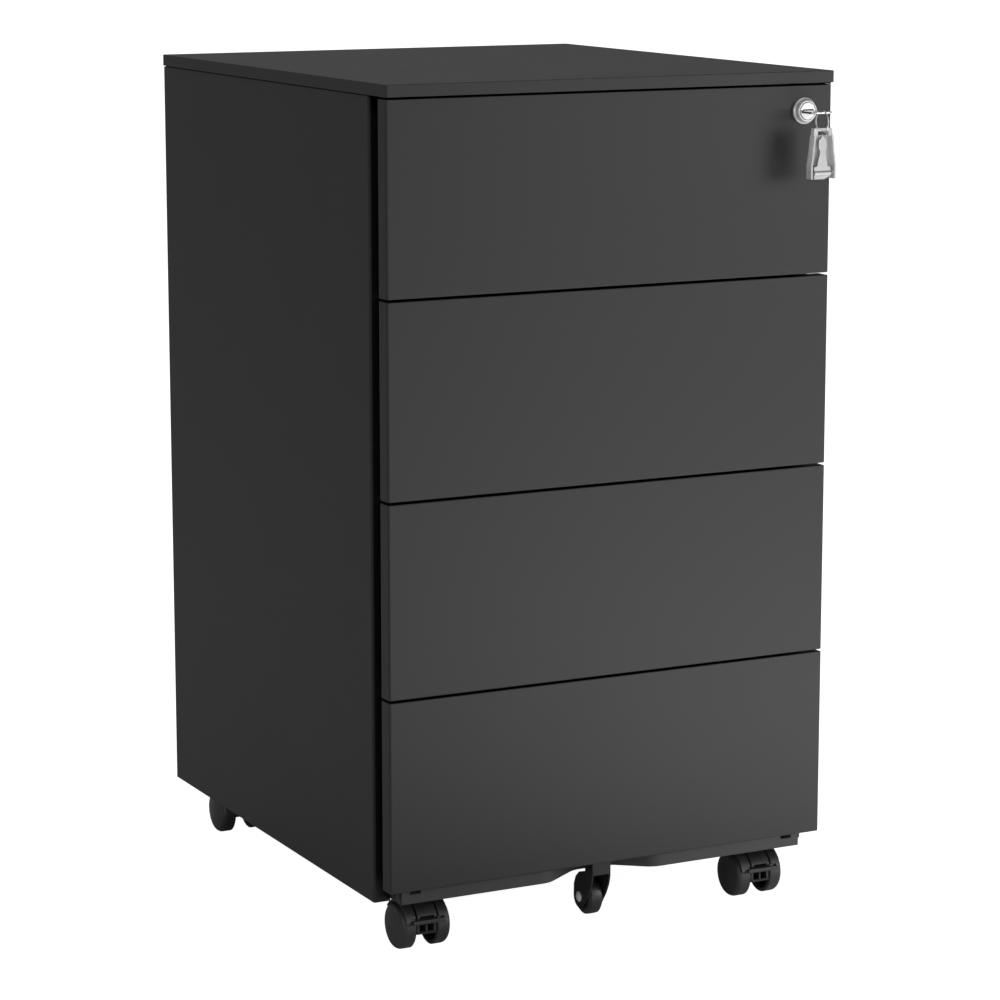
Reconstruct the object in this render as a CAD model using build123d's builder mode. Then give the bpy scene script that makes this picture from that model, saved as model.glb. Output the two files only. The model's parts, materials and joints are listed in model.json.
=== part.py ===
from build123d import *
import os
from math import cos, sin, radians

os.makedirs("parts", exist_ok=True)

# ----------------------------------------------------------------------------
# Mobile four-drawer filing pedestal, millimetres.
# X runs across the front, Y runs from the drawer fronts to the back, Z is up
# and zero on the floor. The origin is under the middle of the whole object.
# ----------------------------------------------------------------------------
half_w = 195.0                 # half the outside width of the body
t = 0.8                        # sheet thickness
y_front = -205.8                # face of the drawer fronts
y_side = y_front + 30.4        # front edge of the side panels
y_back = y_front + 446.9       # back face of the body
z_bottom = 43.2                # bottom edge of the side panels
z_side_top = 672.1             # top edge of the side panels
z_top = 682.3                  # top face
tray_h = 9.4                   # depth of the top tray's edge
tray_over_side = 0.8           # overhang past each side
tray_over_front = 2.5          # overhang past the drawer fronts
tray_over_back = 0.8

front_t = 13.8                 # depth of a drawer front
front_z = {1: 521.5, 2: 366.8, 3: 212.1, 4: 58.0}      # bottom edges
front_h = {1: 149.7, 2: 152.7, 3: 152.7, 4: 152.2}     # heights
box_half_w = 159.0             # drawer box, outside
box_y0 = y_front + front_t
box_y1 = y_front + 430.0
box_rise = 8.0                 # box bottom above the front's bottom edge
box_h = 120.0
flange_in = 145.0              # opening in the back of a drawer front
rail_rise = 53.0               # slide centre above the front's bottom edge

web_out = 171.7                # slide outer member's back, on the uprights
upright_y = (y_front + 60.0, y_front + 370.0)
upright_w = 30.0
slide_y0 = y_front + 36.0
slide_len = 400.0

plate_z = 56.5                 # top of the base plate
lip_y = y_front + 9.0
lip_half = 181.3
lip_bottom = 45.3              # bottom edge of the base lip
side_r = 2.2                   # bend radius at the side panels' front edges
recess_y = y_front + 31.0
ear_x = lip_half + 2.7
rivet_z = (100.0, 360.0, 620.0)

caster_x = 153.2
stem_front_y = y_front + 53.0
stem_rear_y = y_front + 395.0
trail = 13.1                   # swivel axis to wheel axle
wheel_r = 18.8
wheel_in, wheel_out = 9.3, 23.5
axle_z = wheel_r
fender_r0, fender_r1 = 19.3, 20.9

fifth_x = 1.2
fifth_y, fifth_z = y_front + 40.0, 19.1
fifth_r = 15.0

lock_x, lock_z = 169.5, 651.2
cam_r = 6.0                    # eccentric of the cam's drive pin
stud_y = y_front + 48.0
stud_rise = 95.0
bar_x0, bar_x1 = 178.5, 180.0

ring_r, wire_r = 8.6, 0.6
ring_drop = 6.8
ring_y = y_front - 26.9
tag_top, tag_bottom = 639.3, 599.6
pin_y, pin_z = y_front - 27.7, 604.0


def block(x0, x1, y0, y1, z0, z1, mode=Mode.ADD):
    """A box between two corners of the part being built."""
    x0, x1 = sorted((x0, x1))
    y0, y1 = sorted((y0, y1))
    z0, z1 = sorted((z0, z1))
    with Locations(((x0 + x1) / 2, (y0 + y1) / 2, (z0 + z1) / 2)):
        Box(x1 - x0, y1 - y0, z1 - z0, mode=mode)


def bar(axis, x, y, z, r, length, mode=Mode.ADD):
    """A round bar from a base centre, along an axis, for a signed length."""
    turn = {"X": (0, 90, 0), "Y": (-90, 0, 0), "Z": (0, 0, 0)}[axis]
    if length < 0:
        x, y, z = (x + length, y, z) if axis == "X" else (x, y + length, z) if axis == "Y" else (x, y, z + length)
    with Locations(Location((x, y, z), turn)):
        Cylinder(r, abs(length), align=(Align.CENTER, Align.CENTER, Align.MIN), mode=mode)


def dome_x(top, rise, radius, at):
    """Height, at a distance from the axis, of a spherical dome of a given rise and rim radius."""
    ball = (rise * rise + radius * radius) / (2 * rise)
    return top - ball + (ball * ball - at * at) ** 0.5


def lip_points():
    """Plan line of the base lip's outer face, with its recess for the fifth wheel."""
    return [(-lip_half, lip_y), (-51.0, lip_y), (-18.0, recess_y),
            (15.0, recess_y), (44.0, lip_y), (lip_half, lip_y)]


# ------------------------------------------------------------ side panels
slide_hole_y = (upright_y[0] + 15.0, upright_y[1] + 15.0)
for side, name in ((-1, "left_side_panel"), (1, "right_side_panel")):
    with BuildPart() as side_panel:
        # outer skin
        block(side * (half_w - t), side * half_w, y_side + side_r, y_back, z_bottom, z_side_top)
        # rounded front bend, front flange, then its inner return
        with BuildSketch(Plane.XY.offset(z_bottom)):
            with Locations((side * (half_w - side_r), y_side + side_r)):
                Circle(side_r)
                Circle(side_r - t, mode=Mode.SUBTRACT)
            with Locations((side * (half_w - side_r / 2), y_side + side_r / 2)):
                Rectangle(side_r, side_r, mode=Mode.INTERSECT)
        extrude(amount=z_side_top - z_bottom)
        block(side * 181.0, side * (half_w - side_r), y_side, y_side + t, z_bottom, z_side_top)
        block(side * 181.0, side * 181.8, y_side, y_side + 10.6, z_bottom, z_side_top)
        # rear flange, top flange, bottom flange
        block(side * 180.0, side * (half_w - 0.1), y_back - t, y_back, z_bottom, z_side_top)
        block(side * 176.0, side * (half_w - 0.1), y_side + side_r + 0.2, y_back - t, z_side_top - t, z_side_top)
        block(side * 182.5, side * (half_w - 0.1), y_side + 18.4, y_back - 2 * t, z_bottom, z_bottom + t)
        for z in rivet_z:
            bar("Y", side * 187.0, y_back - 2.0, z, 1.65, 4.0, mode=Mode.SUBTRACT)
    side_panel.part.label = name
    export_step(side_panel.part, f"parts/{name}.step")

# ------------------------------------------------------------ back panel
with BuildPart() as back_panel:
    block(-half_w + t, half_w - t, y_back - 2 * t, y_back - t, z_bottom, z_side_top - t)
    for x in (-187.0, 187.0):
        for z in rivet_z:
            bar("Y", x, y_back - 3.0, z, 1.65, 4.0, mode=Mode.SUBTRACT)
    # bottom edge folded forward, under the base plate
    block(-179.0, 179.0, y_back - 12.0, y_back - 2 * t, z_bottom, z_bottom + t)
back_panel.part.label = "back_panel"
export_step(back_panel.part, "parts/back_panel.step")

# ------------------------------------------------------------ top panel
tray_x = half_w + tray_over_side
tray_y0, tray_y1 = y_front - tray_over_front, y_back + tray_over_back
with BuildPart() as top_panel:
    block(-tray_x, tray_x, tray_y0, tray_y1, z_top - tray_h, z_top)
    fillet(top_panel.edges().filter_by(Axis.Z), 1.2)
    fillet(top_panel.faces().sort_by(Axis.Z)[-1].edges(), 0.7)
    # hollow under the sheet, open below inside a 16 mm return
    block(-tray_x + t, tray_x - t, tray_y0 + t, tray_y1 - t, z_top - tray_h + t, z_top - t, mode=Mode.SUBTRACT)
    block(-tray_x + 17.0, tray_x - 17.0, tray_y0 + 17.0, tray_y1 - 17.0, z_top - tray_h - 1, z_top - t, mode=Mode.SUBTRACT)
    # hem strips that seat on the body and leave a shadow line under the edge
    for side in (-1, 1):
        block(side * 179.0, side * 193.6, y_side + side_r + 0.2, y_back - 0.6, z_side_top, z_top - tray_h)
        # stop strip over the end of the top drawer's front, its outer end turned forward on the lock side
        block(side * 165.0, side * (190.0 if side < 0 else 194.7), y_front + 6.0, y_side - 0.3,
              z_side_top - 0.75, z_top - tray_h)
    block(193.9, 194.7, tray_y0 + 3.0, y_front + 6.0, z_side_top - 0.75, z_top - tray_h)
top_panel.part.label = "top_panel"
export_step(top_panel.part, "parts/top_panel.step")

# ------------------------------------------------------------ base panel
with BuildPart() as base_panel:
    # plate, its front edge following the lip
    with BuildSketch(Plane.XY.offset(plate_z - t)):
        with BuildLine():
            FilletPolyline(*lip_points(), radius=20.0)
            Polyline((lip_half, lip_y), (lip_half, y_side - 0.6), (180.4, y_side - 0.6), (180.4, y_side + 11.4),
                     (half_w - t, y_side + 11.4), (half_w - t, y_back - 2 * t), (-half_w + t, y_back - 2 * t),
                     (-half_w + t, y_side + 11.4), (-180.4, y_side + 11.4), (-180.4, y_side - 0.6),
                     (-lip_half, y_side - 0.6), (-lip_half, lip_y))
        make_face()
    extrude(amount=t)
    # front lip
    with BuildSketch(Plane.XY.offset(lip_bottom)):
        with BuildLine():
            FilletPolyline(*[(x, y + t / 2) for x, y in lip_points()], radius=20.0)
        trace(line_width=t)
    extrude(amount=plate_z - lip_bottom)
    for side in (-1, 1):
        # end flange running back to the side panel, open along the bend beside the lip
        block(side * (lip_half - t), side * lip_half, lip_y + 2.4, y_side - 0.6, lip_bottom, plate_z)
        # small locating ear outboard of the lip
        block(side * (lip_half - t), side * ear_x, lip_y + 2.4, lip_y + 2.4 + t, plate_z - 6.5, plate_z)
        # bend relief notch along the top of the lip
        block(side * 164.4, side * 174.2, lip_y - 1.0, lip_y + t, 52.6, plate_z + 1, mode=Mode.SUBTRACT)
        # side flange, inside the body's skin
        block(side * (half_w - 2 * t), side * (half_w - t), y_side + 18.4, y_back - 20.0, z_bottom + t, plate_z - t)
    # rear flange
    block(-178.0, 178.0, y_back - 3 * t, y_back - 2 * t, z_bottom + t, plate_z - t)
    # caster stem holes
    for x in (-caster_x, caster_x):
        for y in (stem_front_y, stem_rear_y):
            bar("Z", x, y, plate_z - 3.0, 5.1, 6.0, mode=Mode.SUBTRACT)
    for e_side in (-1, 1):
        ear_edge = base_panel.edges().filter_by(Axis.Y).filter_by(
            lambda e: abs(e.center().X - e_side * ear_x) < 0.01 and abs(e.center().Z - (plate_z - 6.5)) < 0.01)
        if len(ear_edge) == 1:
            fillet(ear_edge, 2.0)
base_panel.part.label = "base_panel"
export_step(base_panel.part, "parts/base_panel.step")

# ------------------------------------------------------------ slide uprights
slide_z = {n: front_z[n] + rail_rise for n in front_z}
with BuildPart() as uprights:
    for side in (-1, 1):
        for y0 in upright_y:
            block(side * web_out, side * (half_w - t), y0, y0 + upright_w, plate_z, z_side_top - t)
            block(side * (web_out + 1.0), side * (half_w - t), y0 + 1.0, y0 + upright_w - 1.0,
                  plate_z - 1, z_side_top, mode=Mode.SUBTRACT)
            for n in slide_z:
                bar("X", side * (web_out - 1.0), y0 + 15.0, slide_z[n], 2.0, side * 4.0, mode=Mode.SUBTRACT)
uprights.part.label = "slide_uprights"
export_step(uprights.part, "parts/slide_uprights.step")

# ------------------------------------------------------------ slide outer members
with BuildPart() as outer_members:
    for side in (-1, 1):
        for n, zc in slide_z.items():
            y0, y1 = slide_y0, slide_y0 + slide_len
            block(side * (web_out - 1.2), side * web_out, y0, y1, zc - 22.5, zc + 22.5)
            for up in (-1, 1):
                block(side * 161.0, side * web_out, y0, y1, zc + up * 21.3, zc + up * 22.5)
                block(side * 161.0, side * 162.2, y0, y1, zc + up * 19.4, zc + up * 22.5)
            # turned-in stop at the rear
            block(side * 162.2, side * web_out, y1 - 1.2, y1, zc - 12.0, zc + 12.0)
            for y in slide_hole_y:
                bar("X", side * (web_out - 3.0), y, zc, 2.0, side * 4.0, mode=Mode.SUBTRACT)
outer_members.part.label = "slide_outer_members"
export_step(outer_members.part, "parts/slide_outer_members.step")

# ------------------------------------------------------------ body fixings
with BuildPart() as body_fixings:
    for side in (-1, 1):
        for zc in slide_z.values():
            for y in slide_hole_y:
                bar("X", side * 170.0, y, zc, 3.4, side * 0.5)
                bar("X", side * 170.0, y, zc, 1.95, side * 5.0)
        for z in rivet_z:
            bar("Y", side * 187.0, y_back, z, 3.2, 0.8)
            bar("Y", side * 187.0, y_back - 2.6, z, 1.6, 3.0)
    # nuts on the caster stems, on top of the base plate
    with BuildSketch(Plane.XY.offset(plate_z)):
        for x in (-caster_x, caster_x):
            for y in (stem_front_y, stem_rear_y):
                with Locations((x, y)):
                    RegularPolygon(9.2, 6)
                    Circle(5.05, mode=Mode.SUBTRACT)
    extrude(amount=5.0)
body_fixings.part.label = "body_fixings"
export_step(body_fixings.part, "parts/body_fixings.step")

# ------------------------------------------------------------ drawers
screw_x = 152.0
for n in (1, 2, 3, 4):
    z0, h = front_z[n], front_h[n]
    zb, zc = z0 + box_rise, z0 + rail_rise
    screw_z = (zb + 25.0, zb + 95.0)
    stud_z = z0 + stud_rise
    # folded steel front pan
    with BuildPart() as drawer_front:
        block(-half_w, half_w, y_front, y_front + front_t, z0, z0 + h)
        face = drawer_front.faces().sort_by(Axis.Y)[0]
        fillet(face.edges().filter_by(Axis.Z), 1.5)
        fillet(drawer_front.edges().filter_by(Axis.X).group_by(Axis.Y)[0], 0.8)
        block(-half_w + t, half_w - t, y_front + t, y_front + front_t - t, z0 + t, z0 + h - t, mode=Mode.SUBTRACT)
        block(-flange_in, flange_in, y_front + front_t - 2 * t, y_front + front_t + 1, z0 + 12.0, z0 + h - 12.0,
              mode=Mode.SUBTRACT)
        for x in (-screw_x, screw_x):
            for z in screw_z:
                bar("Y", x, y_front + front_t - 2.0, z, 2.0, 4.0, mode=Mode.SUBTRACT)
        if n == 1:
            bar("Y", lock_x, y_front - 1.0, lock_z, 9.4, 3.0, mode=Mode.SUBTRACT)
            bar("Y", lock_x, y_front + front_t - 2.1, lock_z, 14.5, 4.0, mode=Mode.SUBTRACT)
    drawer_front.part.label = f"drawer_{n}_front"
    export_step(drawer_front.part, f"parts/drawer_{n}_front.step")

    # open-topped box with turned-in rims
    with BuildPart() as drawer_box:
        block(-box_half_w, box_half_w, box_y0, box_y1, zb, zb + box_h)
        block(-box_half_w + t, box_half_w - t, box_y0 + t, box_y1 - t, zb + t, zb + box_h - t, mode=Mode.SUBTRACT)
        block(-box_half_w + 5.5, box_half_w - 5.5, box_y0 + 5.5, box_y1 - 5.5, zb + box_h - 2, zb + box_h + 1,
              mode=Mode.SUBTRACT)
        for x in (-screw_x, screw_x):
            for z in screw_z:
                bar("Y", x, box_y0 - 1.0, z, 2.0, 4.0, mode=Mode.SUBTRACT)
        for side in (-1, 1):
            for y in (y_front + 62.0, y_front + 382.0):
                bar("X", side * 157.0, y, zc, 2.0, side * 4.0, mode=Mode.SUBTRACT)
        bar("X", 157.0, stud_y, stud_z, 2.5, 4.0, mode=Mode.SUBTRACT)
    drawer_box.part.label = f"drawer_{n}_box"
    export_step(drawer_box.part, f"parts/drawer_{n}_box.step")

    # inner slide members, on the box sides
    with BuildPart() as inner_rails:
        for side in (-1, 1):
            y0, y1 = y_front + 24.0, y_front + 424.0
            block(side * box_half_w, side * (box_half_w + 1.2), y0, y1, zc - 12.0, zc + 12.0)
            for up in (-1, 1):
                block(side * box_half_w, side * 167.5, y0, y1, zc + up * 10.8, zc + up * 12.0)
            for y in (y_front + 62.0, y_front + 382.0):
                bar("X", side * 157.0, y, zc, 2.0, side * 4.0, mode=Mode.SUBTRACT)
    inner_rails.part.label = f"drawer_{n}_inner_rails"
    export_step(inner_rails.part, f"parts/drawer_{n}_inner_rails.step")

    # screws for the front and the rails, and the lock's catch stud
    with BuildPart() as fixings:
        for x in (-screw_x, screw_x):
            for z in screw_z:
                bar("Y", x, box_y0 + t, z, 3.5, 1.6)
                bar("Y", x, y_front + front_t - 2.0, z, 1.95, 3.0)
        for side in (-1, 1):
            for y in (y_front + 62.0, y_front + 382.0):
                bar("X", side * 157.2, y, zc, 3.5, side * 1.0)
                bar("X", side * 157.2, y, zc, 1.95, side * 4.6)
        bar("X", 156.4, stud_y, stud_z, 4.0, 1.8)
        bar("X", 156.4, stud_y, stud_z, 2.5, 180.6 - 156.4)
    fixings.part.label = f"drawer_{n}_fixings"
    export_step(fixings.part, f"parts/drawer_{n}_fixings.step")

    # middle members of the two telescopic slides
    with BuildPart() as middle_rails:
        for side in (-1, 1):
            y0, y1 = y_front + 30.0, y_front + 430.0
            block(side * 168.4, side * 169.6, y0, y1, zc - 18.6, zc + 18.6)
            for up in (-1, 1):
                block(side * 160.8, side * 169.6, y0, y1, zc + up * 17.4, zc + up * 18.6)
                block(side * 160.8, side * 162.0, y0, y1, zc + up * 15.2, zc + up * 18.6)
    middle_rails.part.label = f"drawer_{n}_middle_rails"
    export_step(middle_rails.part, f"parts/drawer_{n}_middle_rails.step")

# ------------------------------------------------------------ lock
with BuildPart() as lock_housing:
    # tapered bezel, its flat front ring and the barrel, turned about the lock axis
    with BuildSketch(Plane.XY.offset(lock_z)):
        with BuildLine():
            Polyline((lock_x + 6.95, y_front + 20.0), (lock_x + 9.3, y_front + 20.0), (lock_x + 9.3, y_front),
                     (lock_x + 10.4, y_front), (lock_x + 10.4, y_front - 1.6), (lock_x + 9.5, y_front - 2.6),
                     (lock_x + 8.4, y_front - 5.4), (lock_x + 7.9, y_front - 6.0), (lock_x + 7.45, y_front - 6.0),
                     (lock_x + 6.95, y_front - 4.6),
                     close=True)
        make_face()
    revolve(axis=Axis((lock_x, y_front, lock_z), (0, 1, 0)))
lock_housing.part.label = "lock_housing"
export_step(lock_housing.part, "parts/lock_housing.step")

with BuildPart() as lock_nut:
    with BuildSketch(Plane.XZ.offset(-(y_front + t))):
        with Locations((lock_x, lock_z)):
            RegularPolygon(13.0, 6)
            Circle(9.4, mode=Mode.SUBTRACT)
    extrude(amount=-3.0)
lock_nut.part.label = "lock_nut"
export_step(lock_nut.part, "parts/lock_nut.step")

with BuildPart() as lock_plug:
    bar("Y", lock_x, y_front - 6.2, lock_z, 6.9, 28.2)
    fillet(lock_plug.faces().sort_by(Axis.Y)[0].edges(), 0.5)
    bar("Y", lock_x, y_front + 22.0, lock_z, 4.0, 3.0)
    bar("Y", lock_x, y_front + 24.0, lock_z, 4.4, 1.0)
    block(lock_x - 5.1, lock_x + 5.1, y_front - 8.0, y_front + 16.5, lock_z - 1.5, lock_z + 1.5, mode=Mode.SUBTRACT)
lock_plug.part.label = "lock_plug"
export_step(lock_plug.part, "parts/lock_plug.step")

pin_x = lock_x + cam_r * cos(radians(-45))
pin_cz = lock_z + cam_r * sin(radians(-45))
with BuildPart() as lock_cam:
    with BuildSketch(Plane.XZ.offset(-(y_front + 22.0))):
        with Locations((lock_x, lock_z)):
            Circle(7.0)
        with Locations((pin_x, pin_cz)):
            Circle(3.0)
        with Locations((lock_x, lock_z)):
            Circle(4.05, mode=Mode.SUBTRACT)
    extrude(amount=-2.0)
    bar("Y", pin_x, y_front + 22.0, pin_cz, 1.5, 20.0)
lock_cam.part.label = "lock_cam"
export_step(lock_cam.part, "parts/lock_cam.step")

with BuildPart() as lock_bar:
    # strip with an L-shaped catch for each drawer's stud
    block(bar_x0, bar_x1, y_front + 38.0, y_front + 56.0, 128.0, 661.0)
    for n in (1, 2, 3, 4):
        zs = front_z[n] + stud_rise
        block(bar_x0 - 1, bar_x1 + 1, y_front + 37.0, y_front + 51.5, zs - 3.5, zs + 3.5, mode=Mode.SUBTRACT)
        block(bar_x0 - 1, bar_x1 + 1, y_front + 44.5, y_front + 51.5, zs - 12.0, zs + 3.5, mode=Mode.SUBTRACT)
    # actuator flag with the slot that the cam pin lifts
    block(166.0, bar_x1, y_front + 38.0, y_front + 39.5, 637.0, 661.0)
    block(pin_x - 2.1, lock_x + cam_r + 2.1, y_front + 37.0, y_front + 40.5, pin_cz - 1.85, pin_cz + 1.85,
          mode=Mode.SUBTRACT)
lock_bar.part.label = "lock_bar"
export_step(lock_bar.part, "parts/lock_bar.step")

with BuildPart() as lock_bar_guides:
    for z in (180.0, 390.0, 540.0):
        block(173.0, 186.0, y_front + 51.0, upright_y[0], z - 8.0, z + 8.0)
        block(bar_x0 - 0.4, bar_x1 + 0.4, y_front + 50.0, y_front + 56.6, z - 9.0, z + 9.0, mode=Mode.SUBTRACT)
lock_bar_guides.part.label = "lock_bar_guides"
export_step(lock_bar_guides.part, "parts/lock_bar_guides.step")

# ------------------------------------------------------------ key, ring, tag, spare blade
with BuildPart() as key:
    with BuildSketch(Plane.XY.offset(lock_z - 0.8)):
        with Locations((lock_x, y_front - 19.0)):
            RectangleRounded(20.0, 19.0, 4.5)
        with Locations((lock_x, y_front - 21.3)):
            Circle(4.0, mode=Mode.SUBTRACT)
    extrude(amount=1.6)
    fillet(key.faces().filter_by(Axis.Z).edges(), 0.7)
    # blade, cut on one edge and pointed at the tip
    with BuildSketch(Plane.XY.offset(lock_z - 0.7)):
        with BuildLine():
            Polyline((lock_x - 4.2, y_front - 10.5), (lock_x - 4.2, y_front + 12.0), (lock_x - 1.6, y_front + 15.0),
                     (lock_x + 1.4, y_front + 15.0), (lock_x + 3.4, y_front + 12.6), (lock_x + 2.4, y_front + 11.0),
                     (lock_x + 3.8, y_front + 9.2), (lock_x + 2.0, y_front + 6.8), (lock_x + 3.3, y_front + 4.8),
                     (lock_x + 2.7, y_front + 2.6), (lock_x + 4.2, y_front + 0.6), (lock_x + 4.2, y_front - 10.5),
                     close=True)
        make_face()
    extrude(amount=1.4)
key.part.label = "key"
export_step(key.part, "parts/key.step")

ring_normal = (cos(radians(2)), sin(radians(2)), 0)
with BuildPart(Plane(origin=(lock_x, ring_y, lock_z - ring_drop), z_dir=ring_normal)) as key_ring:
    Torus(ring_r, wire_r)
key_ring.part.label = "key_ring"
export_step(key_ring.part, "parts/key_ring.step")

slot_mid = lock_z - ring_drop - ring_r + wire_r          # near the wire's centre
with BuildPart() as key_tag:
    # clear head: tapered outline, back wall and two cheeks, open to the front
    with BuildSketch(Plane.XZ.offset(-(ring_y - 3.5))):
        with BuildLine():
            FilletPolyline((lock_x - 8.3, tag_top), (lock_x + 8.3, tag_top), (lock_x + 10.0, 620.0),
                           (lock_x + 11.35, 611.0), (lock_x + 11.35, tag_bottom), (lock_x - 11.35, tag_bottom),
                           (lock_x - 11.35, 611.0), (lock_x - 10.0, 620.0), close=True, radius=0.8)
        make_face()
    extrude(amount=-7.0)
    with BuildSketch(Plane.XZ.offset(-(ring_y - 4.5))):
        with BuildLine():
            FilletPolyline((lock_x - 7.3, 633.6), (lock_x + 7.3, 633.6), (lock_x + 8.6, 620.0),
                           (lock_x + 9.95, 611.0), (lock_x + 9.95, tag_bottom - 4), (lock_x - 9.95, tag_bottom - 4),
                           (lock_x - 9.95, 611.0), (lock_x - 8.6, 620.0), close=True, radius=0.8)
        make_face()
    extrude(amount=-6.4, mode=Mode.SUBTRACT)
    # thinner top bar round the wire, and its slot
    block(lock_x - 12, lock_x + 12, ring_y - 4.5, ring_y - 2.2, 633.6, 641.0, mode=Mode.SUBTRACT)
    block(lock_x - 12, lock_x + 12, ring_y + 2.2, ring_y + 4.5, 633.6, 641.0, mode=Mode.SUBTRACT)
    block(lock_x - 4.85, lock_x + 4.85, ring_y - 4.5, ring_y + 4.5, 633.9, 637.0, mode=Mode.SUBTRACT)
    # back wall open behind the knuckle, so its foot can swing
    block(lock_x - 9.95, lock_x + 9.95, ring_y + 1.0, ring_y + 4.5, tag_bottom - 2, 609.4, mode=Mode.SUBTRACT)
    # hinge pin holes in the cheeks
    bar("X", lock_x - 12.0, pin_y, pin_z, 0.95, 24.0, mode=Mode.SUBTRACT)
key_tag.part.label = "key_tag"
export_step(key_tag.part, "parts/key_tag.step")

with BuildPart() as spare_blade:
    # knuckle with a rounded foot, then the flat blade folded up between the cheeks
    with BuildSketch(Plane.XZ.offset(-(pin_y - 0.9))):
        with BuildLine():
            FilletPolyline((lock_x - 7.5, 599.4), (lock_x + 2.0, 599.4), (lock_x + 7.5, 602.0), (lock_x + 7.5, 608.8),
                           (lock_x + 4.6, 609.6), (lock_x + 4.2, 613.0), (lock_x + 2.4, 619.0), (lock_x + 2.3, 621.6),
                           (lock_x + 3.5, 623.6), (lock_x + 3.5, 629.6), (lock_x + 0.4, 632.8), (lock_x - 0.4, 632.8),
                           (lock_x - 3.5, 629.6), (lock_x - 3.5, 623.6), (lock_x - 2.3, 621.6), (lock_x - 2.4, 619.0),
                           (lock_x - 4.2, 613.0), (lock_x - 4.6, 609.6), (lock_x - 7.5, 608.8),
                           close=True, radius=0.3)
        make_face()
    extrude(amount=-1.8)
    bar("X", lock_x - 7.5, pin_y, pin_z, 2.1, 15.0)
    bar("X", lock_x - 10.9, pin_y, pin_z, 0.9, 21.8)
spare_blade.part.label = "spare_blade"
export_step(spare_blade.part, "parts/spare_blade.step")

# ------------------------------------------------------------ casters
with BuildPart() as caster_stems:
    for x in (-caster_x, caster_x):
        for y in (stem_front_y, stem_rear_y):
            bar("Z", x, y, 24.0, 5.0, 39.5)
            bar("Z", x, y, plate_z - t - 3.0, 9.0, 3.0)
caster_stems.part.label = "caster_stems"
export_step(caster_stems.part, "parts/caster_stems.step")

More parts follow.
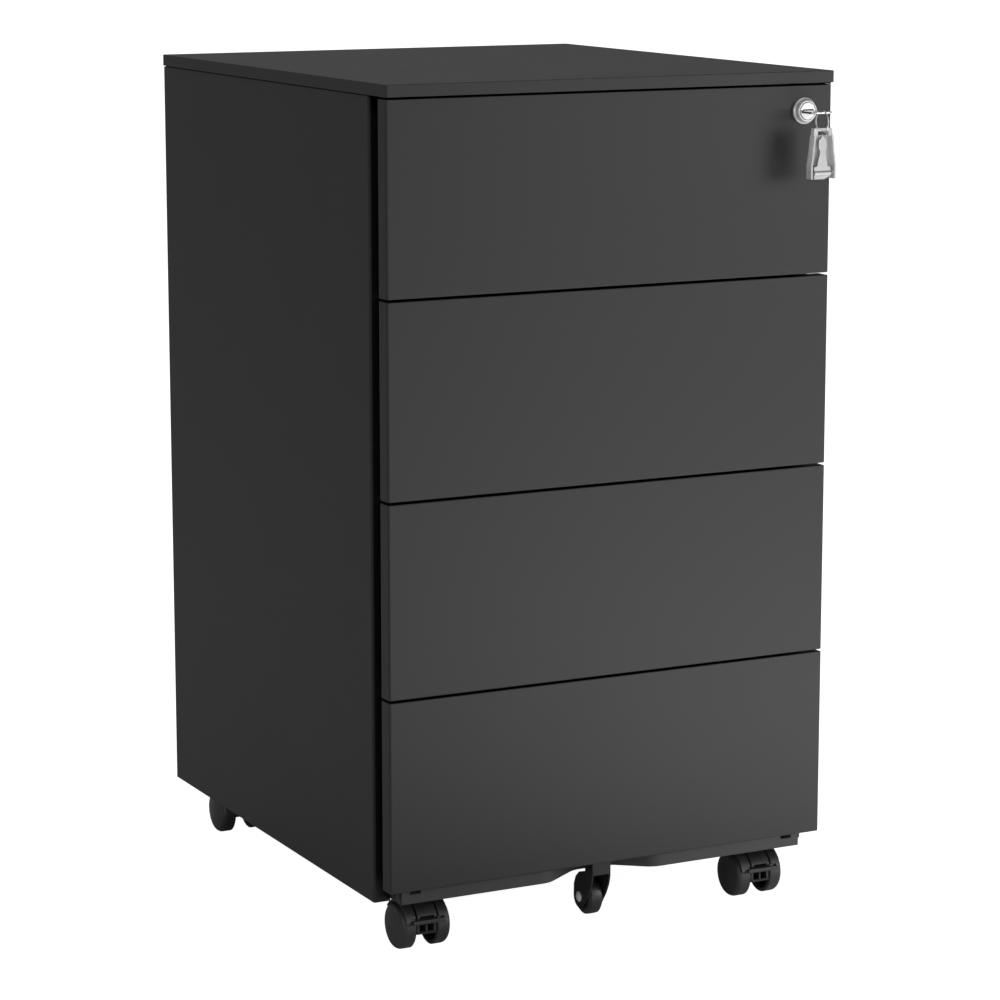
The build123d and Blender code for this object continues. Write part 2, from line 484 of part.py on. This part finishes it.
for name, cx, sy, d in (("front_left", -caster_x, stem_front_y, -1), ("front_right", caster_x, stem_front_y, -1),
                        ("rear_left", -caster_x, stem_rear_y, 1), ("rear_right", caster_x, stem_rear_y, 1)):
    brake = d == -1
    ay = sy + d * trail

    def uz(u, z):
        """Distance from the swivel axis towards the wheels, and height."""
        return (sy + d * u, z)

    with BuildPart() as hood:
        # centre body between the wheels
        with BuildSketch(Plane.YZ.offset(cx - 8.3)):
            with BuildLine():
                Polyline(uz(12.0, 39.66), uz(7.5, 42.0), uz(-8.0, 42.0), uz(-8.0, 25.0), uz(-3.0, 21.0),
                         uz(7.0, 12.2), uz(20.0, 12.2), uz(31.0, 14.5), uz(33.09, 24.9))
                ThreePointArc(uz(33.09, 24.9), uz(trail + fender_r1 * cos(radians(55)), axle_z + fender_r1 * sin(radians(55))),
                              uz(12.0, 39.66))
            make_face()
        extrude(amount=16.6)
        # swivel cap over the stem
        bar("Z", cx, sy, 36.4, 10.5, 5.6)
        # fenders over both wheels, tied into the centre body over the top, slotted beside it in front
        with BuildSketch(Plane.YZ.offset(cx - 18.4)):
            with Locations((ay, axle_z)):
                Circle(fender_r1)
                Circle(fender_r0, mode=Mode.SUBTRACT)
            with BuildLine():
                Polyline((ay, axle_z), (ay + d * 60 * cos(radians(17)), axle_z + 60 * sin(radians(17))),
                         (ay + d * 60, axle_z + 60), (ay - d * 60, axle_z + 60),
                         (ay - d * 60 * cos(radians(35)), axle_z + 60 * sin(radians(35))), close=True)
            make_face(mode=Mode.INTERSECT)
        extrude(amount=36.8)
        with BuildSketch(Plane.YZ.offset(cx - 10.1)):
            with Locations((ay, axle_z)):
                Circle(fender_r1 + 1.5)
                Circle(fender_r1 - 2.2, mode=Mode.SUBTRACT)
            with Locations((ay + d * 20.0, axle_z + 15.0)):
                Rectangle(34.0, 24.0, mode=Mode.INTERSECT)
        extrude(amount=1.8, mode=Mode.SUBTRACT)
        with BuildSketch(Plane.YZ.offset(cx + 8.3)):
            with Locations((ay, axle_z)):
                Circle(fender_r1 + 1.5)
                Circle(fender_r1 - 2.2, mode=Mode.SUBTRACT)
            with Locations((ay + d * 20.0, axle_z + 15.0)):
                Rectangle(34.0, 24.0, mode=Mode.INTERSECT)
        extrude(amount=1.8, mode=Mode.SUBTRACT)
        # stem socket and axle bore
        bar("Z", cx, sy, 23.7, 5.05, 20.0, mode=Mode.SUBTRACT)
        bar("X", cx - 9.0, ay, axle_z, 2.55, 18.0, mode=Mode.SUBTRACT)
        # open front of the centre body, with a middle rib
        y_a, y_b = sy + d * 19.5, sy + d * 40.0
        block(cx - 6.3, cx - 0.7, y_a, y_b, 16.2, 22.6, mode=Mode.SUBTRACT)
        block(cx + 0.7, cx + 6.3, y_a, y_b, 16.2, 22.6, mode=Mode.SUBTRACT)
        if brake:
            block(cx - 6.3, cx + 6.3, sy + d * 20.5, y_b, 21.6, 29.2, mode=Mode.SUBTRACT)
            block(cx - 14.4, cx + 14.4, sy + d * 30.5, y_b, 16.0, 28.2, mode=Mode.SUBTRACT)
            bar("X", cx - 8.0, sy + d * 24.5, 26.0, 1.25, 16.0, mode=Mode.SUBTRACT)
    hood.part.label = f"{name}_caster_hood"
    export_step(hood.part, f"parts/{name}_caster_hood.step")

    with BuildPart() as axle:
        bar("X", cx - 20.0, ay, axle_z, 2.5, 40.0)
    axle.part.label = f"{name}_caster_axle"
    export_step(axle.part, f"parts/{name}_caster_axle.step")

    for side, which in ((-1, "outer" if cx < 0 else "inner"), (1, "inner" if cx < 0 else "outer")):
        # wheel turned about the axle: domed outer face, rounded tread edge, hollow inner face
        with BuildPart() as wheel:
            with BuildSketch(Plane.XY.offset(axle_z)):
                with BuildLine():
                    w1 = Polyline((cx + side * 20.3, ay + 2.55), (cx + side * wheel_in, ay + 2.55),
                             (cx + side * wheel_in, ay + 5.5), (cx + side * 17.5, ay + 6.0),
                             (cx + side * 17.5, ay + 14.6), (cx + side * wheel_in, ay + 15.6),
                             (cx + side * wheel_in, ay + wheel_r - 0.6), (cx + side * (wheel_in + 0.6), ay + wheel_r),
                             (cx + side * 17.2, ay + wheel_r))
                    ThreePointArc((cx + side * 17.2, ay + wheel_r), (cx + side * 20.1, ay + wheel_r - 1.35),
                                  (cx + side * 21.4, ay + wheel_r - 4.4))
                    ThreePointArc((cx + side * 21.4, ay + wheel_r - 4.4), (cx + side * dome_x(wheel_out, 2.1, 14.4, 7.2), ay + 7.2),
                                  (cx + side * wheel_out, ay))
                    Polyline((cx + side * wheel_out, ay), (cx + side * 20.3, ay), (cx + side * 20.3, ay + 2.55))
                make_face()
            revolve(axis=Axis((cx, ay, axle_z), (1, 0, 0)))
        wheel.part.label = f"{name}_{which}_wheel"
        export_step(wheel.part, f"parts/{name}_{which}_wheel.step")

    if brake:
        with BuildPart() as pedal:
            py = sy + d * 24.5
            bar("X", cx - 5.9, py, 26.0, 2.1, 11.8)
            bar("X", cx - 7.8, py, 26.0, 1.2, 15.6)
            block(cx - 5.5, cx + 5.5, py, sy + d * 34.0, 24.4, 27.2)
            # foot tab across the front
            block(cx - 13.5, cx + 13.5, sy + d * 33.4, sy + d * 36.2, 23.9, 27.3)
            tab = pedal.edges().filter_by(Axis.X).group_by(Axis.Y)[0 if d < 0 else -1]
            fillet(tab, 0.9)
        pedal.part.label = f"{name}_brake_pedal"
        export_step(pedal.part, f"parts/{name}_brake_pedal.step")

# ------------------------------------------------------------ fifth wheel under the bottom drawer
with BuildPart() as fork:
    zt = front_z[4] + box_rise
    for x0 in (fifth_x - 8.6, fifth_x + 7.1):
        with BuildSketch(Plane.YZ.offset(x0)):
            with BuildLine():
                Polyline((y_front + 18.0, zt), (y_front + 30.2, zt), (y_front + 30.2, 43.4), (y_front + 40.5, 40.0),
                         (y_front + 46.2, 35.0), (y_front + 49.2, 28.0), (y_front + 49.4, 20.5))
                ThreePointArc((y_front + 49.4, 20.5), (y_front + 43.5, 10.2), (y_front + 33.4, 12.5))
                Polyline((y_front + 33.4, 12.5), (y_front + 25.0, 24.0), (y_front + 20.4, 33.0), (y_front + 18.0, 42.5),
                         (y_front + 18.0, zt))
            make_face()
        extrude(amount=1.5)
    # front web and the top flange
    block(fifth_x - 8.6, fifth_x + 8.6, y_front + 18.0, y_front + 19.5, 42.0, zt)
    block(fifth_x - 8.6, fifth_x + 8.6, y_front + 18.0, y_front + 30.2, zt - 1.5, zt)
    bar("X", fifth_x - 9.0, fifth_y, fifth_z, 2.55, 18.0, mode=Mode.SUBTRACT)
    web_edges = fork.edges().filter_by(Axis.Z).filter_by(
        lambda e: abs(e.center().Y - (y_front + 18.0)) < 0.01 and abs(abs(e.center().X - fifth_x) - 8.6) < 0.01)
    fillet(web_edges, 1.0)
fork.part.label = "fifth_wheel_fork"
export_step(fork.part, "parts/fifth_wheel_fork.step")

with BuildPart() as rivet:
    bar("X", fifth_x - 10.0, fifth_y, fifth_z, 2.5, 20.0)
    for side in (-1, 1):
        with BuildSketch(Plane.XY.offset(fifth_z)):
            with BuildLine():
                Polyline((fifth_x + side * 8.65, fifth_y), (fifth_x + side * 8.65, fifth_y + 4.2),
                         (fifth_x + side * 9.2, fifth_y + 4.2))
                ThreePointArc((fifth_x + side * 9.2, fifth_y + 4.2), (fifth_x + side * dome_x(10.7, 1.5, 4.2, 2.1), fifth_y + 2.1),
                              (fifth_x + side * 10.7, fifth_y))
                Line((fifth_x + side * 10.7, fifth_y), (fifth_x + side * 8.65, fifth_y))
            make_face()
        revolve(axis=Axis((fifth_x, fifth_y, fifth_z), (1, 0, 0)))
rivet.part.label = "fifth_wheel_rivet"
export_step(rivet.part, "parts/fifth_wheel_rivet.step")

with BuildPart() as fifth_wheel:
    with BuildSketch(Plane.XY.offset(fifth_z)):
        with BuildLine():
            Polyline((fifth_x - 4.4, fifth_y + fifth_r - 0.25), (fifth_x - 6.3, fifth_y + fifth_r - 2.6),
                     (fifth_x - 6.3, fifth_y + 10.0), (fifth_x - 5.2, fifth_y + 9.4), (fifth_x - 5.2, fifth_y + 4.6),
                     (fifth_x - 6.5, fifth_y + 4.2), (fifth_x - 6.5, fifth_y + 2.55), (fifth_x + 6.5, fifth_y + 2.55),
                     (fifth_x + 6.5, fifth_y + 4.2), (fifth_x + 5.2, fifth_y + 4.6), (fifth_x + 5.2, fifth_y + 9.4),
                     (fifth_x + 6.3, fifth_y + 10.0), (fifth_x + 6.3, fifth_y + fifth_r - 2.6),
                     (fifth_x + 4.4, fifth_y + fifth_r - 0.25))
            ThreePointArc((fifth_x + 4.4, fifth_y + fifth_r - 0.25), (fifth_x, fifth_y + fifth_r),
                          (fifth_x - 4.4, fifth_y + fifth_r - 0.25))
        make_face()
    revolve(axis=Axis((fifth_x, fifth_y, fifth_z), (1, 0, 0)))
fifth_wheel.part.label = "fifth_wheel"
export_step(fifth_wheel.part, "parts/fifth_wheel.step")
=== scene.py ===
import json
import math

import bmesh
import bpy
from mathutils import Matrix, Vector


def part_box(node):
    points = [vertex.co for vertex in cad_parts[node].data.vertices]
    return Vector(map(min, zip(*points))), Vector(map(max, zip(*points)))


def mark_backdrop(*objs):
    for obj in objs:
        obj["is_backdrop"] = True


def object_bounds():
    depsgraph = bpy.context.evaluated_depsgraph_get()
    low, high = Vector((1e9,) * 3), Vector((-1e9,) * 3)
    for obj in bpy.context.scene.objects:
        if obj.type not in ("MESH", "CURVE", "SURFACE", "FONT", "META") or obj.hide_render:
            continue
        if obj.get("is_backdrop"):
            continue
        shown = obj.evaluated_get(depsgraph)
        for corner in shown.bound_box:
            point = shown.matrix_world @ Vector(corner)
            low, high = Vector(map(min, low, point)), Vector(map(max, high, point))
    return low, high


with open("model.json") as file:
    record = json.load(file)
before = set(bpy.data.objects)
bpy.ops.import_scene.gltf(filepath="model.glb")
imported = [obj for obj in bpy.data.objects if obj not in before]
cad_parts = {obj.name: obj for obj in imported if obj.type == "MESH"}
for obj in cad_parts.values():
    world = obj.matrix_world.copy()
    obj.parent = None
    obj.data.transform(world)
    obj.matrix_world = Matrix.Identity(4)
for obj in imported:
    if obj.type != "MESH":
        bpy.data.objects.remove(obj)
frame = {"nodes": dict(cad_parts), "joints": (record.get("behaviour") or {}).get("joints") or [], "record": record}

cad_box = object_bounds()
nodes = frame["nodes"]
slots = {s["node"]: s["material_slot"] for s in frame["record"]["subparts"]}
joints = {j["name"]: j for j in frame["joints"]}
scene = bpy.context.scene

# ------------------------------------------------------------------ camera
# Standing to the left of the front and above it, looking down at the body.
y_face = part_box("drawer_2_front")[0].y
floor_z = cad_box[0].z
cam_data = bpy.data.cameras.new("camera")
cam = bpy.data.objects.new("camera", cam_data)
scene.collection.objects.link(cam)
scene.camera = cam
cam_pos = Vector((-0.195 - 1.0620, y_face - 2.2690, floor_z + 0.7860 + 0.0580))
yaw, pitch = math.radians(27.02), math.radians(10.73)
look = Vector((math.sin(yaw) * math.cos(pitch), math.cos(yaw) * math.cos(pitch), -math.sin(pitch)))
cam.location = cam_pos
cam.rotation_mode = "QUATERNION"
cam.rotation_quaternion = look.to_track_quat("-Z", "Y")
cam_data.sensor_width = 36.0
cam_data.lens = 36.0 * 3366.0 / 1000.0
cam_data.clip_start, cam_data.clip_end = 0.05, 100.0


# ------------------------------------------------------------------ node helpers
class Mat:
    """A short way to write a procedural material's node tree."""

    def __init__(self, name):
        self.mat = bpy.data.materials.new(name)
        self.mat.use_nodes = True
        self.tree = self.mat.node_tree
        self.tree.nodes.clear()
        self.out = self.tree.nodes.new("ShaderNodeOutputMaterial")
        self.bsdf = self.tree.nodes.new("ShaderNodeBsdfPrincipled")
        self.tree.links.new(self.bsdf.outputs[0], self.out.inputs[0])
        self.coord = self.tree.nodes.new("ShaderNodeTexCoord")

    def new(self, kind, **values):
        n = self.tree.nodes.new(kind)
        for k, v in values.items():
            setattr(n, k, v)
        return n

    def link(self, a, b):
        self.tree.links.new(a, b)

    def set(self, **values):
        for k, v in values.items():
            self.bsdf.inputs[k.replace("_", " ")].default_value = v

    def noise(self, scale, detail=2.0, rough=0.5, stretch=None, distortion=0.0):
        n = self.new("ShaderNodeTexNoise")
        n.inputs["Scale"].default_value = scale
        n.inputs["Detail"].default_value = detail
        n.inputs["Roughness"].default_value = rough
        n.inputs["Distortion"].default_value = distortion
        if stretch:
            m = self.new("ShaderNodeMapping")
            m.inputs["Scale"].default_value = stretch
            self.link(self.coord.outputs["Object"], m.inputs["Vector"])
            self.link(m.outputs[0], n.inputs["Vector"])
        else:
            self.link(self.coord.outputs["Object"], n.inputs["Vector"])
        return n.outputs["Fac"]

    def ramp(self, value, stops):
        r = self.new("ShaderNodeValToRGB")
        e = r.color_ramp.elements
        while len(e) < len(stops):
            e.new(0.5)
        for i, (p, c) in enumerate(stops):
            e[i].position = p
            e[i].color = (*c, 1.0) if len(c) == 3 else c
        self.link(value, r.inputs["Fac"])
        return r.outputs["Color"]

    def span(self, value, lo, hi, a=0.0, b=1.0):
        m = self.new("ShaderNodeMapRange")
        m.inputs["From Min"].default_value = lo
        m.inputs["From Max"].default_value = hi
        m.inputs["To Min"].default_value = a
        m.inputs["To Max"].default_value = b
        self.link(value, m.inputs["Value"])
        return m.outputs["Result"]

    def mix(self, factor, a, b):
        m = self.new("ShaderNodeMix", data_type="RGBA")
        for slot_, v in ((0, factor), (6, a), (7, b)):
            if hasattr(v, "node"):
                self.link(v, m.inputs[slot_])
            else:
                m.inputs[slot_].default_value = v if slot_ == 0 else (*v, 1.0)
        return m.outputs[2]

    def bump(self, height, strength, distance, normal=None):
        b = self.new("ShaderNodeBump")
        b.inputs["Strength"].default_value = strength
        b.inputs["Distance"].default_value = distance
        self.link(height, b.inputs["Height"])
        if normal is not None:
            self.link(normal, b.inputs["Normal"])
        return b.outputs["Normal"]

    def edges(self, radius):
        """A mask that is 1 on sharp edges and 0 on open faces."""
        bevel = self.new("ShaderNodeBevel", samples=4)
        bevel.inputs["Radius"].default_value = radius
        geo = self.new("ShaderNodeNewGeometry")
        dot = self.new("ShaderNodeVectorMath", operation="DOT_PRODUCT")
        self.link(bevel.outputs[0], dot.inputs[0])
        self.link(geo.outputs["Normal"], dot.inputs[1])
        return self.span(dot.outputs["Value"], 0.995, 0.80)


def powder_coat(name, colour, rough=0.46, spec=0.42, wear_and_highlight_amount=0.30, painted_shade_span=(0.06, 0.42)):
    """Fine matt powder coat: even dark grey, slight orange peel, edges paler as rubbed wear and painted highlight,
    narrow gaps painted dark as shade.
    """
    m = Mat(name)
    m.set(Metallic=0.0)
    m.bsdf.inputs["Specular IOR Level"].default_value = spec
    cloud = m.noise(7.0, 3.0, 0.55)
    fine = m.noise(900.0, 2.0, 0.6)
    base = m.mix(m.span(cloud, 0.3, 0.7), tuple(c * 0.985 for c in colour), tuple(c * 1.015 for c in colour))
    speck = m.mix(m.span(fine, 0.62, 0.78, 0.0, 0.4), base, tuple(c * 1.2 for c in colour))
    # painted highlight mixed with rubbed wear: sharp edges are lightened toward 2.2 times the colour by a noisy
    # amount, 0.30 at most by default
    edge = m.edges(0.0011)
    edge_wear_and_highlight = m.new("ShaderNodeMath", operation="MULTIPLY")
    m.link(edge, edge_wear_and_highlight.inputs[0])
    m.link(m.span(m.noise(140.0, 4.0, 0.6), 0.35, 0.65, 0.12, wear_and_highlight_amount), edge_wear_and_highlight.inputs[1])
    wear_and_highlight_base = m.mix(edge_wear_and_highlight.outputs[0], speck, tuple(min(1.0, c * 2.2) for c in colour))
    if painted_shade_span:
        # painted shade: ambient occlusion turns the base colour black and the paint fully metallic in narrow gaps
        # and folds, so they render near black
        shade_occlusion = m.new("ShaderNodeAmbientOcclusion", samples=4)
        shade_occlusion.inputs["Distance"].default_value = 0.020
        unshaded_share = m.span(shade_occlusion.outputs["AO"], *painted_shade_span)
        m.link(m.mix(unshaded_share, (0.0, 0.0, 0.0), wear_and_highlight_base), m.bsdf.inputs["Base Color"])
        m.link(m.span(unshaded_share, 1.0, 0.3), m.bsdf.inputs["Metallic"])
    else:
        m.link(wear_and_highlight_base, m.bsdf.inputs["Base Color"])
    m.link(m.span(m.noise(20.0, 3.0, 0.5), 0.25, 0.75, rough - 0.008, rough + 0.008), m.bsdf.inputs["Roughness"])
    rounded = m.new("ShaderNodeBevel", samples=4)
    rounded.inputs["Radius"].default_value = 0.0007
    peel = m.bump(m.noise(1500.0, 3.0, 0.55), 0.12, 0.00005, rounded.outputs[0])
    peel2 = m.bump(m.noise(420.0, 2.0, 0.5), 0.05, 0.0001, peel)
    m.link(peel2, m.bsdf.inputs["Normal"])
    return m.mat


def moulded(name, colour, rough=0.4, grain=1100.0, strength=0.25):
    """Injection-moulded nylon: fine spark grain with soft scuffs, and a painted highlight on sharp edges."""
    m = Mat(name)
    m.bsdf.inputs["Specular IOR Level"].default_value = 0.5
    cloud = m.noise(60.0, 3.0, 0.6)
    base = m.mix(m.span(cloud, 0.3, 0.7), tuple(c * 0.85 for c in colour), tuple(c * 1.2 for c in colour))
    # painted highlight: sharp edges are lightened toward 2.4 times the colour
    edge = m.edges(0.0006)
    m.link(m.mix(m.span(edge, 0.0, 1.0, 0.0, 0.35), base, tuple(min(1.0, c * 2.4) for c in colour)), m.bsdf.inputs["Base Color"])
    m.link(m.span(m.noise(130.0, 4.0, 0.65), 0.25, 0.75, rough - 0.07, rough + 0.09), m.bsdf.inputs["Roughness"])
    m.link(m.bump(m.noise(grain, 2.0, 0.5), strength, 0.00008), m.bsdf.inputs["Normal"])
    return m.mat


def metal(name, colour, rough=0.3, stretch=(60.0, 900.0, 60.0), grain=0.12, spots=0.25, metallic=1.0):
    """Plated or brushed metal with fine drawn lines and faint smudges."""
    m = Mat(name)
    m.set(Metallic=metallic)
    smudge = m.noise(90.0, 4.0, 0.6)
    m.link(m.mix(m.span(smudge, 0.3, 0.75), tuple(c * (1.0 - 0.35 * spots) for c in colour), colour), m.bsdf.inputs["Base Color"])
    lines = m.noise(1.0, 3.0, 0.6, stretch=stretch)
    m.link(m.span(lines, 0.2, 0.8, rough - 0.08, rough + 0.08), m.bsdf.inputs["Roughness"])
    m.link(m.bump(lines, grain, 0.00005), m.bsdf.inputs["Normal"])
    return m.mat


def clear_plastic(name):
    """Clear moulded polystyrene, a little hazy from handling, with faint flow marks."""
    m = Mat(name)
    m.set(Metallic=0.0)
    m.bsdf.inputs["Transmission Weight"].default_value = 0.42
    m.bsdf.inputs["IOR"].default_value = 1.49
    flow = m.noise(160.0, 3.0, 0.5, stretch=(1.0, 1.0, 0.25))
    m.link(m.mix(m.span(flow, 0.3, 0.7), (0.90, 0.91, 0.92), (0.98, 0.98, 0.98)), m.bsdf.inputs["Base Color"])
    m.link(m.span(m.noise(300.0, 3.0, 0.6), 0.3, 0.7, 0.03, 0.12), m.bsdf.inputs["Roughness"])
    m.link(m.bump(flow, 0.15, 0.0002), m.bsdf.inputs["Normal"])
    return m.mat


paint = (0.0185, 0.0188, 0.0195)
# painted shade: the span pairs given to powder_coat set how strongly ambient occlusion darkens each paint in gaps;
# body paint most, fork paint not at all
materials = {
    "body_paint": powder_coat("body_paint", paint, painted_shade_span=(0.50, 0.93)),
    "front_paint": powder_coat("front_paint", paint),
    # painted light: the base panel gets the body paint 2.3 times lighter, so its lip, shaded under the bottom
    # drawer, reads as light as the fronts
    "painted_light_base_paint": powder_coat("painted_light_base_paint", tuple(c * 2.3 for c in paint), painted_shade_span=(0.02, 0.20)),
    "box_paint": powder_coat("box_paint", (0.022, 0.0222, 0.0228), rough=0.5),
    "fork_paint": powder_coat("fork_paint", (0.022, 0.022, 0.0225), rough=0.42, painted_shade_span=None),
    "zinc_steel": metal("zinc_steel", (0.56, 0.57, 0.58), rough=0.34, stretch=(400.0, 8.0, 400.0)),
    "zinc_screws": metal("zinc_screws", (0.62, 0.62, 0.6), rough=0.3, stretch=(500.0, 500.0, 500.0)),
    # painted reflection: the rivet is nearly white and only 0.15 metallic, so its diffuse white stands in for a
    # steel dome's bright reflection
    "rivet_steel": metal("rivet_steel", (0.96, 0.96, 0.96), rough=0.42, stretch=(300.0, 900.0, 300.0), grain=0.04, spots=0.08, metallic=0.15),
    # painted reflection: metallic held at 0.7 so the near-white base adds diffuse brightness standing in for
    # bright chrome reflections
    "chrome": metal("chrome", (0.94, 0.94, 0.94), rough=0.42, stretch=(300.0, 60.0, 300.0), grain=0.05, spots=0.12, metallic=0.7),
    "plug_steel": metal("plug_steel", (0.56, 0.56, 0.555), rough=0.36, stretch=(900.0, 60.0, 900.0), grain=0.06),
    "key_metal": metal("key_metal", (0.74, 0.74, 0.73), rough=0.3, stretch=(500.0, 40.0, 500.0), grain=0.08),
    "blade_metal": metal("blade_metal", (0.44, 0.44, 0.438), rough=0.46, stretch=(600.0, 600.0, 60.0), grain=0.08),
    "clear_plastic": clear_plastic("clear_plastic"),
    "guide_plastic": moulded("guide_plastic", (0.35, 0.35, 0.34)),
    "caster_plastic": moulded("caster_plastic", (0.027, 0.027, 0.0275), rough=0.42),
    "wheel_plastic": moulded("wheel_plastic", (0.034, 0.034, 0.0345), rough=0.38),
    "pedal_plastic": moulded("pedal_plastic", (0.034, 0.034, 0.0345), rough=0.4),
}


# the base panel takes the lightened paint (painted light) in place of its own slot's paint
finish = dict(slots, base_panel="painted_light_base_paint")
for name, obj in nodes.items():
    obj.data.materials.clear()
    obj.data.materials.append(materials[finish[name]])

# ------------------------------------------------------------------ studio
def plane_mesh(name, verts, faces, mat, smooth=False):
    mesh = bpy.data.meshes.new(name)
    mesh.from_pydata(verts, [], faces)
    mesh.update()
    obj = bpy.data.objects.new(name, mesh)
    scene.collection.objects.link(obj)
    mesh.materials.append(mat)
    if smooth:
        for p in mesh.polygons:
            p.use_smooth = True
    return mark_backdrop(obj) or obj


floor_mat = Mat("studio_floor")
floor_mat.bsdf.inputs["Base Color"].default_value = (0.80, 0.80, 0.80, 1.0)
floor_mat.bsdf.inputs["Roughness"].default_value = 0.9
floor_mat.bsdf.inputs["Specular IOR Level"].default_value = 0.1
floor_glow = 0.97
floor_mat.bsdf.inputs["Emission Color"].default_value = (1.0, 1.0, 1.0, 1.0)
pool_light = 3.28
path = floor_mat.new("ShaderNodeLightPath")
spot = floor_mat.new("ShaderNodeVectorMath", operation="DISTANCE")
floor_mat.link(floor_mat.coord.outputs["Object"], spot.inputs[0])
spot.inputs[1].default_value = (0.55, -0.85, floor_z)
pool = floor_mat.span(spot.outputs["Value"], 0.8, 0.1, 0.0, pool_light)
glow = floor_mat.new("ShaderNodeMix", data_type="FLOAT")
floor_mat.link(path.outputs["Is Camera Ray"], glow.inputs[0])
floor_mat.link(pool, glow.inputs[2])
glow.inputs[3].default_value = floor_glow
floor_mat.link(glow.outputs[0], floor_mat.bsdf.inputs["Emission Strength"])
size = 40.0
plane_mesh("studio_floor", [(-size, -size, floor_z), (size, -size, floor_z), (size, size, floor_z), (-size, size, floor_z)],
           [(0, 1, 2, 3)], floor_mat.mat)

# The room is plain white to the eye and gives a dimmer, even light.
world = bpy.data.worlds.new("studio")
scene.world = world
world.use_nodes = True
wt = world.node_tree
wt.nodes.clear()
w_out = wt.nodes.new("ShaderNodeOutputWorld")
w_mix = wt.nodes.new("ShaderNodeMixShader")
w_light = wt.nodes.new("ShaderNodeBackground")
w_seen = wt.nodes.new("ShaderNodeBackground")
w_path = wt.nodes.new("ShaderNodeLightPath")
room_light = 0.305
front_light = 0.15
# brighter towards the front right, where the studio's white wall stands
w_coord = wt.nodes.new("ShaderNodeTexCoord")
w_dot = wt.nodes.new("ShaderNodeVectorMath")
w_dot.operation = "DOT_PRODUCT"
w_dot.inputs[1].default_value = Vector((0.45, -0.85, 0.25)).normalized()
w_span = wt.nodes.new("ShaderNodeMapRange")
w_span.interpolation_type = "SMOOTHSTEP"
w_span.inputs["From Min"].default_value = -0.2
w_span.inputs["From Max"].default_value = 0.9
w_span.inputs["To Min"].default_value = room_light
w_span.inputs["To Max"].default_value = room_light + front_light
wt.links.new(w_coord.outputs["Generated"], w_dot.inputs[0])
wt.links.new(w_dot.outputs["Value"], w_span.inputs["Value"])
wt.links.new(w_span.outputs["Result"], w_light.inputs["Strength"])
w_seen.inputs["Color"].default_value = (1.0, 1.0, 1.0, 1.0)
w_seen.inputs["Strength"].default_value = 1.0
wt.links.new(w_path.outputs["Is Camera Ray"], w_mix.inputs[0])
wt.links.new(w_light.outputs[0], w_mix.inputs[1])
wt.links.new(w_seen.outputs[0], w_mix.inputs[2])
wt.links.new(w_mix.outputs[0], w_out.inputs[0])


def softbox(name, place, target, w, h, power):
    data = bpy.data.lights.new(name, "AREA")
    data.shape = "RECTANGLE"
    data.size, data.size_y = w, h
    data.energy = power
    obj = bpy.data.objects.new(name, data)
    scene.collection.objects.link(obj)
    obj.location = place
    obj.rotation_mode = "QUATERNION"
    obj.rotation_quaternion = (Vector(target) - Vector(place)).to_track_quat("-Z", "Y")
    return obj


softboxes = {
    "overhead": ((0.0, 0.2, 3.2), (0.0, 0.0, 0.3), 3.0, 3.0, 11.0),
    "key": ((2.0, -2.35, 1.0), (0.1, 0.0, 0.38), 1.2, 1.2, 25.0),
    "left_front": ((-2.3, -1.7, 0.75), (0.1, -0.2, 0.6), 1.2, 1.2, 5.8),
}
for name, box_ in softboxes.items():
    softbox(name, *box_)

scene.view_settings.view_transform = "Standard"
scene.view_settings.look = "None"
scene.view_settings.exposure = 0.0
scene.view_settings.gamma = 1.0
